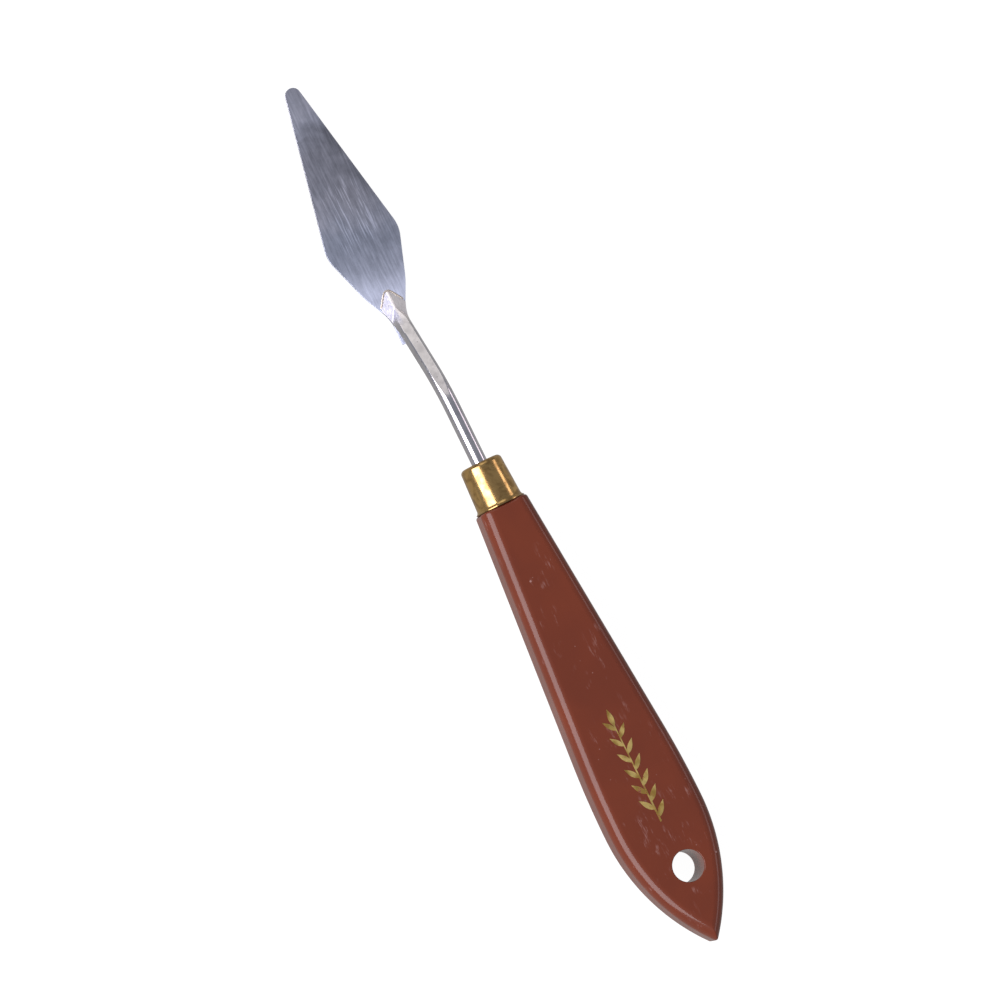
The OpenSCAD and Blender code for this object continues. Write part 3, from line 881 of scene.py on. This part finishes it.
def run_maker(name, tree, sizes, material, start=None, crease=30.0):
    """Runs the tree once and keeps its result as a plain mesh."""
    start = start or bpy.data.meshes.new(name + "_start")
    piece = bpy.data.objects.new(name, start)
    bpy.context.scene.collection.objects.link(piece)
    tool = piece.modifiers.new("maker", "NODES")
    tool.node_group = tree
    for item in tree.interface.items_tree:
        if item.in_out == "INPUT" and item.name in sizes:
            tool[item.identifier] = sizes[item.name]
        if item.in_out == "INPUT" and item.name == "Finish":
            tool[item.identifier] = material
    mesh = as_modified(piece)
    bpy.data.objects.remove(piece)
    mesh.name = name
    return mesh


def swept(tree, path, scale, profile):
    """A closed bar along a path: its section is the profile, scaled along the way."""
    sized = lay(tree, "GeometryNodeSetCurveRadius", {"Curve": path, "Radius": scale}).outputs[0]
    radius = lay(tree, "GeometryNodeInputRadius").outputs[0]
    inputs = {"Curve": sized, "Profile Curve": profile, "Scale": radius, "Fill Caps": True}
    return lay(tree, "GeometryNodeCurveToMesh", inputs).outputs[0]


def strip(tree, path, scale, width, height):
    """A flat strip along a path, its width and height scaled along the way."""
    inputs = {"Width": width, "Height": height}
    return swept(tree, path, scale, lay(tree, "GeometryNodeCurvePrimitiveQuadrilateral", inputs).outputs[0])


def sprig_maker():
    """A stem with leaves to both sides in turn, and one leaf at its end."""
    sizes = ["Length", "Stem width", "Leaf length", "Leaf width", "Leaf angle", "Leaf count", "Thickness"]
    tree, given = new_maker("sprig", sizes)

    def line(length, points):
        end = lay(tree, "ShaderNodeCombineXYZ", {0: length}).outputs[0]
        straight = lay(tree, "GeometryNodeCurvePrimitiveLine", {"End": end}).outputs[0]
        return lay(tree, "GeometryNodeResampleCurve", {"Curve": straight, "Count": points}).outputs[0]

    along = lay(tree, "GeometryNodeSplineParameter").outputs["Factor"]
    belly = reckon(tree, "SINE", both(tree, reckon(tree, "POWER", along, 0.85), math.pi))
    belly = reckon(tree, "MAXIMUM", belly, 0.06)
    leaf = strip(tree, line(given["Leaf length"], 17), belly, given["Leaf width"], given["Thickness"])
    taper = between(tree, along, 0.0, 1.0, 1.15, 0.7)
    stem_length = reckon(tree, "SUBTRACT", given["Length"], both(tree, given["Leaf length"], 0.6))
    stem = strip(tree, line(stem_length, 30), taper, given["Stem width"], given["Thickness"])

    run = reckon(tree, "SUBTRACT", given["Length"], given["Leaf length"])
    pitch = reckon(tree, "DIVIDE", run, given["Leaf count"])
    index = lay(tree, "GeometryNodeInputIndex").outputs[0]
    x = both(tree, plus(tree, index, 0.5), pitch)
    side = reckon(tree, "SUBTRACT", both(tree, reckon(tree, "MODULO", index, 2.0), 2.0), 1.0)
    seats = lay(tree, "GeometryNodeMeshLine", {"Count": given["Leaf count"]}).outputs[0]
    spot = lay(tree, "ShaderNodeCombineXYZ", {0: x}).outputs[0]
    seats = lay(tree, "GeometryNodeSetPosition", {"Geometry": seats, "Position": spot}).outputs[0]
    turn = lay(tree, "ShaderNodeCombineXYZ", {2: both(tree, side, given["Leaf angle"])}).outputs[0]
    size = between(tree, reckon(tree, "DIVIDE", index, given["Leaf count"]), 0.0, 1.0, 1.0, 0.86)
    inputs = {"Points": seats, "Instance": leaf, "Rotation": turn, "Scale": size}
    leaves = lay(tree, "GeometryNodeInstanceOnPoints", inputs)
    end = lay(tree, "ShaderNodeCombineXYZ", {0: run}).outputs[0]
    last = lay(tree, "GeometryNodeTransform", {"Geometry": leaf, "Translation": end}).outputs[0]
    whole = lay(tree, "GeometryNodeJoinGeometry")
    for part in (stem, leaves.outputs[0], last):
        tree.links.new(part, whole.inputs[0])
    return end_maker(tree, given, whole.outputs[0])


def make_sprig(material):
    sizes = {
        "Length": SPRIG_LENGTH * MM,
        "Stem width": STEM_WIDTH * MM,
        "Leaf length": LEAF_LENGTH * MM,
        "Leaf width": LEAF_WIDTH * MM,
        "Leaf angle": LEAF_ANGLE,
        "Leaf count": SPRIG_PAIRS * 2,
        "Thickness": FOIL_THICKNESS * MM,
    }
    mesh = run_maker("sprig_foil", sprig_maker(), sizes, material)
    up = HANDLE_THICKNESS / 2 + FOIL_THICKNESS / 2
    mesh.transform(Matrix.Translation(in_place(hole_x + SPRIG_TO_HOLE, 0, up)))
    return finish_piece("sprig_foil", mesh, material, 40)


def bead_maker():
    """A low rounded bead along a path, slightly uneven, thin at both ends."""
    tree, given = new_maker("braze_bead", ["Width", "Height", "Seed"])
    path = lay(tree, "GeometryNodeMeshToCurve", {0: given["Geometry"]}).outputs[0]
    path = lay(tree, "GeometryNodeResampleCurve", {"Curve": path, "Count": 240}).outputs[0]
    where = lay(tree, "GeometryNodeInputPosition").outputs[0]
    inputs = {"Vector": where, "W": given["Seed"], "Scale": 900.0, "Detail": 2.0}
    lumps = lay(tree, "ShaderNodeTexNoise", inputs, noise_dimensions="4D").outputs[0]
    along = lay(tree, "GeometryNodeSplineParameter").outputs["Factor"]
    near_end = between(tree, along, 0.0, 0.05, 0.35, 1.0)
    ends = both(tree, near_end, between(tree, along, 1.0, 0.95, 0.35, 1.0))
    scale = both(tree, ends, between(tree, lumps, 0.25, 0.75, 0.72, 1.0))
    ring = lay(tree, "GeometryNodeCurvePrimitiveCircle", {"Resolution": 14, "Radius": 1.0}).outputs["Curve"]
    half_bead = both(tree, given["Width"], 0.5)
    squash = lay(tree, "ShaderNodeCombineXYZ", {0: half_bead, 1: given["Height"], 2: 1.0}).outputs[0]
    ring = lay(tree, "GeometryNodeTransform", {"Geometry": ring, "Scale": squash}).outputs[0]
    return end_maker(tree, given, swept(tree, path, scale, ring))


def make_braze(material):
    """The bead lies against both edges of the arrow head, from the blade's edge to the point and back."""
    t = math.tan(HEAD_HALF_ANGLE)
    reach = HEAD_LENGTH + BRAZE_WIDTH / 2 / math.sin(HEAD_HALF_ANGLE)
    start = next(u / 100 for u in range(0, 900) if flare_half(u / 100) > (reach - u / 100) * t) + 0.1
    arm_end = (start, (reach - start) * t)
    curve = fillet(arm_end, (reach, 0), (start, -arm_end[1]), HEAD_TIP_RADIUS + BRAZE_WIDTH / 2, 16)
    arm = [Vector(arm_end).lerp(curve[0], k / 30) for k in range(30)]
    points = arm + curve + [Vector((p.x, -p.y)) for p in reversed(arm)]
    start_mesh = bpy.data.meshes.new("bead_path")
    edges = [(k, k + 1) for k in range(len(points) - 1)]
    start_mesh.from_pydata([on_blade(p.x, p.y, 0.0) for p in points], edges, [])
    sizes = {"Width": BRAZE_WIDTH * MM * BEAD_SPREAD, "Height": BRAZE_HEIGHT * MM, "Seed": 4}
    mesh = run_maker("braze_bead", bead_maker(), sizes, material, start_mesh)
    return finish_piece("braze_bead", mesh, material, 60)


# ---- Floor, light and camera ----
def glowing(name, albedo, colour, strength):
    """A matt finish that gives off its own even light."""
    material, _, shader = new_finish(name)
    shader.inputs["Base Color"].default_value = (albedo, albedo, albedo, 1)
    shader.inputs["Specular IOR Level"].default_value = 0.0
    shader.inputs["Emission Color"].default_value = colour
    shader.inputs["Emission Strength"].default_value = strength
    return material, shader


def lay_floor():
    """A white table, and the dimmer one that shiny surfaces show, as in a room that is darker further off."""
    size = FLOOR_HALF
    rings = [[(-size, -size, z), (size, -size, z), (size, size, z), (-size, size, z)] for z in FLOOR_HEIGHTS]
    white, shader = glowing("pale_table", 0.12, (1, 1, 1, 1), 0.96)
    shader.inputs["Roughness"].default_value = 0.9
    floor = new_piece("table", *skin(rings), white)
    floor.visible_glossy = False
    dim, _ = glowing("dim_table", 0.0, (1.0, 0.98, 0.97, 1), 0.42)
    mirrored = new_piece("table_in_reflections", *skin(rings), dim)
    mirrored.visible_camera = mirrored.visible_diffuse = mirrored.visible_shadow = False


def hang_softbox(name, place, size, radiance, colour):
    """A soft panel whose surface has that brightness, turned to the knife."""
    light = bpy.data.lights.new(name, "AREA")
    light.shape = "RECTANGLE"
    light.size, light.size_y = size
    light.energy = radiance * math.pi * size[0] * size[1]
    light.color = colour
    panel = bpy.data.objects.new(name, light)
    bpy.context.scene.collection.objects.link(panel)
    back = (Vector(place) - Vector(LIGHTS_AIM)).normalized()
    right = (Vector((1, 0, 0)) - back * back.x).normalized()
    panel.matrix_world = stood_at(place, right, back.cross(right), back)


def stood_at(place, right, up, back):
    """Place and turn of a camera or panel that looks along the opposite of back."""
    return Matrix.Translation(place) @ Matrix((right, up, back)).transposed().to_4x4()


def light_room():
    world = bpy.data.worlds.new("room")
    bpy.context.scene.world = world
    world.use_nodes = True
    tree = world.node_tree
    seen = lay(tree, "ShaderNodeLightPath").outputs["Is Camera Ray"]
    colour = blend_colours(tree, seen, ROOM_COLOUR, BACKDROP_COLOUR)
    tree.links.new(colour, tree.nodes["Background"].inputs["Color"])
    for name, panel in SOFTBOXES.items():
        hang_softbox(name, **panel)


def set_up_camera():
    """Almost overhead, leaning a little to the side, the knife running down to the lower right."""
    back = Vector(CAMERA_DIRECTION).normalized()
    along = (Vector((1, 0, 0)) - back * back.x).normalized()
    across = back.cross(along)
    right = -math.sin(CAMERA_LEAN) * along - math.cos(CAMERA_LEAN) * across
    up = math.cos(CAMERA_LEAN) * along - math.sin(CAMERA_LEAN) * across
    data = bpy.data.cameras.new("camera")
    data.lens = CAMERA_LENS
    data.sensor_width = 36.0
    data.clip_start = 0.01
    camera = bpy.data.objects.new("camera", data)
    bpy.context.scene.collection.objects.link(camera)
    place = Vector(in_place(*CAMERA_AIM)) + back * CAMERA_DISTANCE
    camera.matrix_world = stood_at(place, right, up, back)
    bpy.context.scene.camera = camera


# ---- The knife ----
set_up_camera()
light_room()
lay_floor()
pieces = [
    (make_blade(blade_steel()), "blade", "blade_steel"),
    (make_shank(rod_steel()), "shank", "rod_steel"),
    (make_braze(pale_braze()), "braze_fillet", "braze"),
    (make_ferrule(drawn_brass()), "ferrule", "ferrule_brass"),
    (make_handle(gloss_lacquer()), "handle", "lacquered_wood"),
    (make_sprig(pressed_foil()), "foil_sprig", "gold_foil"),
]
for piece, node, slot in pieces:
    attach(piece, "root")
    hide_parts(node)
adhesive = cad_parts["tang_adhesive"]
resin = cured_resin()
for holder in adhesive.material_slots:
    holder.material = resin

bpy.context.scene.view_settings.view_transform = "Standard"
